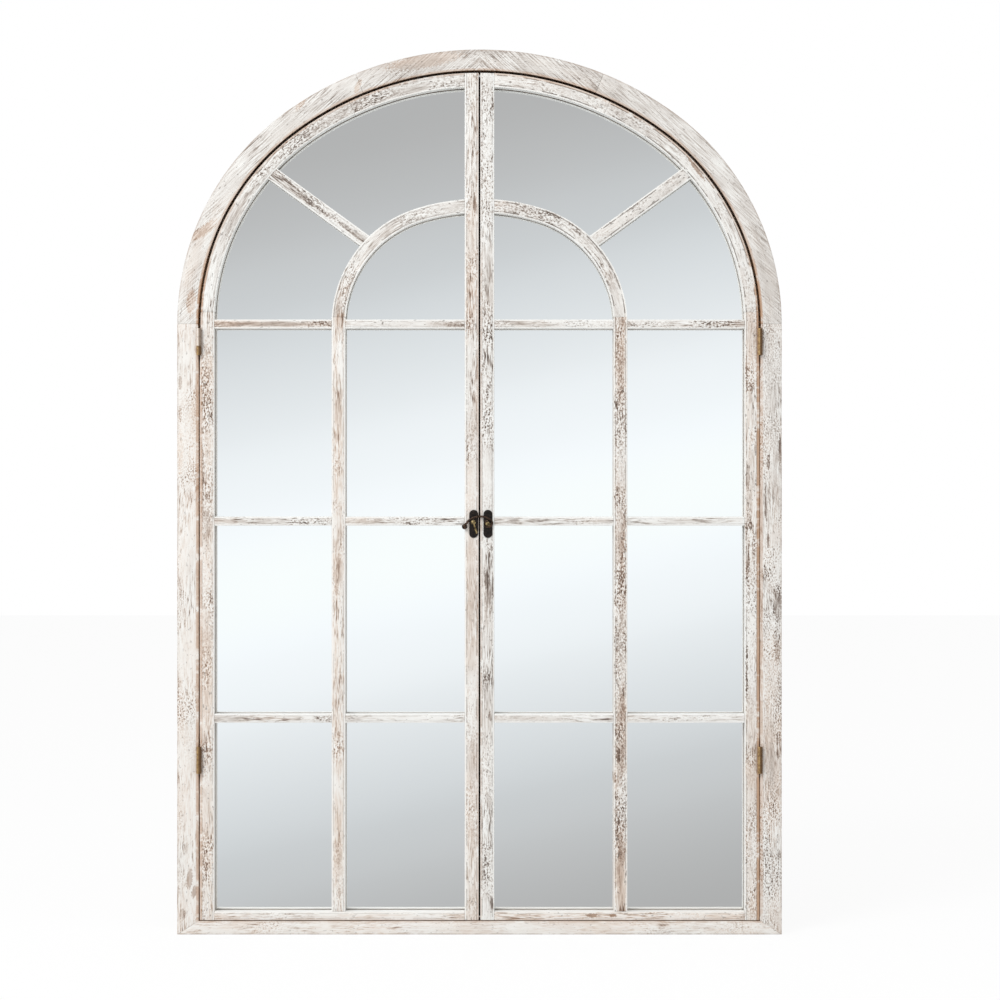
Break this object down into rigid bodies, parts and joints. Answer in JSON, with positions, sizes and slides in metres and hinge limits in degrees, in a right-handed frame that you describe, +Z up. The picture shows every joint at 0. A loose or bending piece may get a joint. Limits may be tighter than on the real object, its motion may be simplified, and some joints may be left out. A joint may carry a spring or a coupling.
{
  "type": "arched mirror",
  "caption": "Arched wall mirror in a whitewashed wooden window frame: hinged lattice doors close over the mirror sheet and a hook latch joins them in the middle.",
  "frame": {"origin": "on the back plane that meets the wall, halfway between the entry holes of the two keyhole hangers", "axes": "+Z up the mirror, +Y into the wall, +X to the right as seen from the front"},
  "size_m": [0.61, 0.0354, 0.8929],
  "materials": {
    "whitewashed_wood": "whitewashed and worn",
    "plain_wood": "bare",
    "mirror": "polished",
    "hardboard": "matte",
    "aged_brass": "aged satin",
    "dark_bronze": "antique bronze",
    "steel": "zinc plated",
    "felt": "felt"
  },
  "bodies": {
    "frame": {"back_board": "hardboard", "board_brads": "steel", "corner_nails": "steel", "crown": "whitewashed_wood", "frame_dowels": "plain_wood", "hanger_screws": "steel", "hinge_pins": "aged_brass", "jamb_hinge_screws": "aged_brass", "left_hanger": "steel", "left_haunch": "whitewashed_wood", "left_lower_jamb_plate": "aged_brass", "left_post": "whitewashed_wood", "left_upper_jamb_plate": "aged_brass", "mirror_glass": "mirror", "right_hanger": "steel", "right_haunch": "whitewashed_wood", "right_lower_jamb_plate": "aged_brass", "right_post": "whitewashed_wood", "right_upper_jamb_plate": "aged_brass", "sill": "whitewashed_wood"},
    "left_door": {"keeper_plate": "dark_bronze", "left_bottom_rail": "whitewashed_wood", "left_door_dowels": "plain_wood", "left_door_hinge_screws": "aged_brass", "left_door_strip": "felt", "left_hinge_stile": "whitewashed_wood", "left_inner_crown": "whitewashed_wood", "left_inner_haunch": "whitewashed_wood", "left_latch_screws": "dark_bronze", "left_lower_cross_bar": "whitewashed_wood", "left_lower_door_plate": "aged_brass", "left_meeting_stile": "whitewashed_wood", "left_middle_cross_bar": "whitewashed_wood", "left_spoke": "whitewashed_wood", "left_top_crown": "whitewashed_wood", "left_top_haunch": "whitewashed_wood", "left_upper_cross_bar": "whitewashed_wood", "left_upper_door_plate": "aged_brass", "left_upright_bar": "whitewashed_wood"},
    "right_door": {"hook_plate": "dark_bronze", "right_bottom_rail": "whitewashed_wood", "right_door_dowels": "plain_wood", "right_door_hinge_screws": "aged_brass", "right_door_pads": "felt", "right_hinge_stile": "whitewashed_wood", "right_inner_crown": "whitewashed_wood", "right_inner_haunch": "whitewashed_wood", "right_latch_screws": "dark_bronze", "right_lower_cross_bar": "whitewashed_wood", "right_lower_door_plate": "aged_brass", "right_meeting_stile": "whitewashed_wood", "right_middle_cross_bar": "whitewashed_wood", "right_spoke": "whitewashed_wood", "right_top_crown": "whitewashed_wood", "right_top_haunch": "whitewashed_wood", "right_upper_cross_bar": "whitewashed_wood", "right_upper_door_plate": "aged_brass", "right_upright_bar": "whitewashed_wood"},
    "hook": {"latch_hook": "dark_bronze"}
  },
  "joints": [
    {"name": "right_door_swing", "type": "hinge", "parent": "frame", "child": "right_door", "pos_m": [0.2828, -0.03259, 0], "axis": [0, 0, 1], "range_deg": [0, 170]},
    {"name": "left_door_swing", "type": "hinge", "parent": "frame", "child": "left_door", "pos_m": [-0.2828, -0.03259, 0], "axis": [0, 0, -1], "range_deg": [0, 170]},
    {"name": "hook_lift", "type": "hinge", "parent": "right_door", "child": "hook", "pos_m": [0.0085, -0.03215, -0.14567], "axis": [0, 1, 0], "range_deg": [0, 165]}
  ],
  "couplings": [
    {"joint": "left_door_swing", "follows": "right_door_swing", "ratio": 1}
  ]
}
